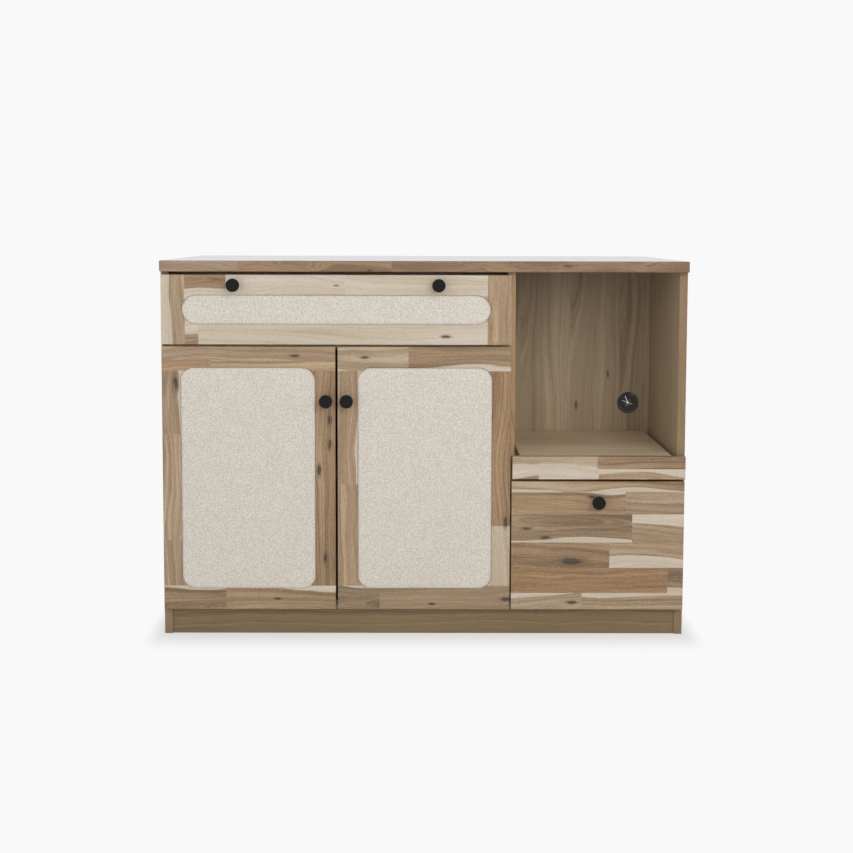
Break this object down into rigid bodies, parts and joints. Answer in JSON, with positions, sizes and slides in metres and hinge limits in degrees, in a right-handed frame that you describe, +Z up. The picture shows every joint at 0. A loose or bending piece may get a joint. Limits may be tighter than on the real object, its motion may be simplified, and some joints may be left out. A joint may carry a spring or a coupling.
{
  "type": "kitchen counter cabinet",
  "caption": "Low kitchen cabinet with a solid wood worktop, a wide drawer over padded doors, and an open niche with a pull-out shelf over a deep drawer.",
  "frame": {"origin": "on the floor, under the middle of the whole object", "axes": "+X to the right when facing the fronts, +Y to the back, +Z up"},
  "size_m": [1.2, 0.624, 0.865],
  "materials": {
    "solid_acacia": "finger-jointed solid acacia, satin clear lacquer",
    "acacia_fronts": "finger-jointed acacia staves, dull clear lacquer",
    "oak_board": "particle board with a matt oak-grain face",
    "drawer_board": "plain pale board",
    "boucle_fabric": "off-white looped cloth over a thin pad",
    "black_metal": "matt black",
    "zinc_steel": "bright zinc plated",
    "nickel_steel": "nickel plated",
    "black_plastic": "fine matt",
    "black_rubber": "matt"
  },
  "bodies": {
    "carcass": {"back_panel_left": "oak_board", "back_panel_right": "oak_board", "bottom_panel": "oak_board", "cam_bolts": "zinc_steel", "cam_locks": "zinc_steel", "centre_divider": "oak_board", "drawer_rail": "oak_board", "left_door_hinge_arms": "nickel_steel", "left_side_panel": "oak_board", "loose_shelf": "oak_board", "lower_drawer_slides_fixed": "zinc_steel", "outlet_flaps": "black_rubber", "outlet_ring": "black_plastic", "plinth_back": "oak_board", "plinth_front": "oak_board", "pull_out_slides_fixed": "zinc_steel", "right_door_hinge_arms": "nickel_steel", "right_side_panel": "oak_board", "shelf_pins": "zinc_steel", "top_rail_back": "oak_board", "top_rail_front": "oak_board", "wide_drawer_slides_fixed": "zinc_steel", "worktop": "solid_acacia"},
    "wide_drawer_middle_members": {"wide_drawer_slides_middle": "zinc_steel"},
    "lower_drawer_middle_members": {"lower_drawer_slides_middle": "zinc_steel"},
    "pull_out_middle_members": {"pull_out_slides_middle": "zinc_steel"},
    "wide_drawer": {"wide_drawer_back": "drawer_board", "wide_drawer_backing": "drawer_board", "wide_drawer_bottom": "drawer_board", "wide_drawer_fabric_pad": "boucle_fabric", "wide_drawer_frame": "acacia_fronts", "wide_drawer_inner_front": "drawer_board", "wide_drawer_left_knob": "black_metal", "wide_drawer_left_side": "drawer_board", "wide_drawer_right_knob": "black_metal", "wide_drawer_right_side": "drawer_board", "wide_drawer_slides_moving": "zinc_steel"},
    "lower_drawer": {"lower_drawer_back": "drawer_board", "lower_drawer_bottom": "drawer_board", "lower_drawer_front": "acacia_fronts", "lower_drawer_knob": "black_metal", "lower_drawer_left_side": "drawer_board", "lower_drawer_right_side": "drawer_board", "lower_drawer_slides_moving": "zinc_steel"},
    "pull_out": {"pull_out_cleats": "oak_board", "pull_out_fascia": "acacia_fronts", "pull_out_shelf": "oak_board", "pull_out_slides_moving": "zinc_steel"},
    "left_door": {"left_door_backing": "drawer_board", "left_door_fabric_pad": "boucle_fabric", "left_door_frame": "acacia_fronts", "left_door_hinge_cups": "nickel_steel", "left_door_knob": "black_metal"},
    "right_door": {"right_door_backing": "drawer_board", "right_door_fabric_pad": "boucle_fabric", "right_door_frame": "acacia_fronts", "right_door_hinge_cups": "nickel_steel", "right_door_knob": "black_metal"}
  },
  "joints": [
    {"name": "wide_drawer_slide", "type": "slide", "parent": "carcass", "child": "wide_drawer", "axis": [0, -1, 0], "range_m": [0, 0.35]},
    {"name": "wide_drawer_middle_slide", "type": "slide", "parent": "carcass", "child": "wide_drawer_middle_members", "axis": [0, -1, 0], "range_m": [0, 0.175]},
    {"name": "lower_drawer_slide", "type": "slide", "parent": "carcass", "child": "lower_drawer", "axis": [0, -1, 0], "range_m": [0, 0.35]},
    {"name": "lower_drawer_middle_slide", "type": "slide", "parent": "carcass", "child": "lower_drawer_middle_members", "axis": [0, -1, 0], "range_m": [0, 0.175]},
    {"name": "pull_out_slide", "type": "slide", "parent": "carcass", "child": "pull_out", "axis": [0, -1, 0], "range_m": [0, 0.35]},
    {"name": "pull_out_middle_slide", "type": "slide", "parent": "carcass", "child": "pull_out_middle_members", "axis": [0, -1, 0], "range_m": [0, 0.175]},
    {"name": "left_door_hinge", "type": "hinge", "parent": "carcass", "child": "left_door", "pos_m": [-0.591, -0.285, 0.3665], "axis": [0, 0, -1], "range_deg": [0, 105]},
    {"name": "right_door_hinge", "type": "hinge", "parent": "carcass", "child": "right_door", "pos_m": [0.19125, -0.285, 0.3665], "axis": [0, 0, 1], "range_deg": [0, 90]}
  ],
  "couplings": [
    {"joint": "wide_drawer_middle_slide", "follows": "wide_drawer_slide", "ratio": 0.5},
    {"joint": "lower_drawer_middle_slide", "follows": "lower_drawer_slide", "ratio": 0.5},
    {"joint": "pull_out_middle_slide", "follows": "pull_out_slide", "ratio": 0.5}
  ]
}
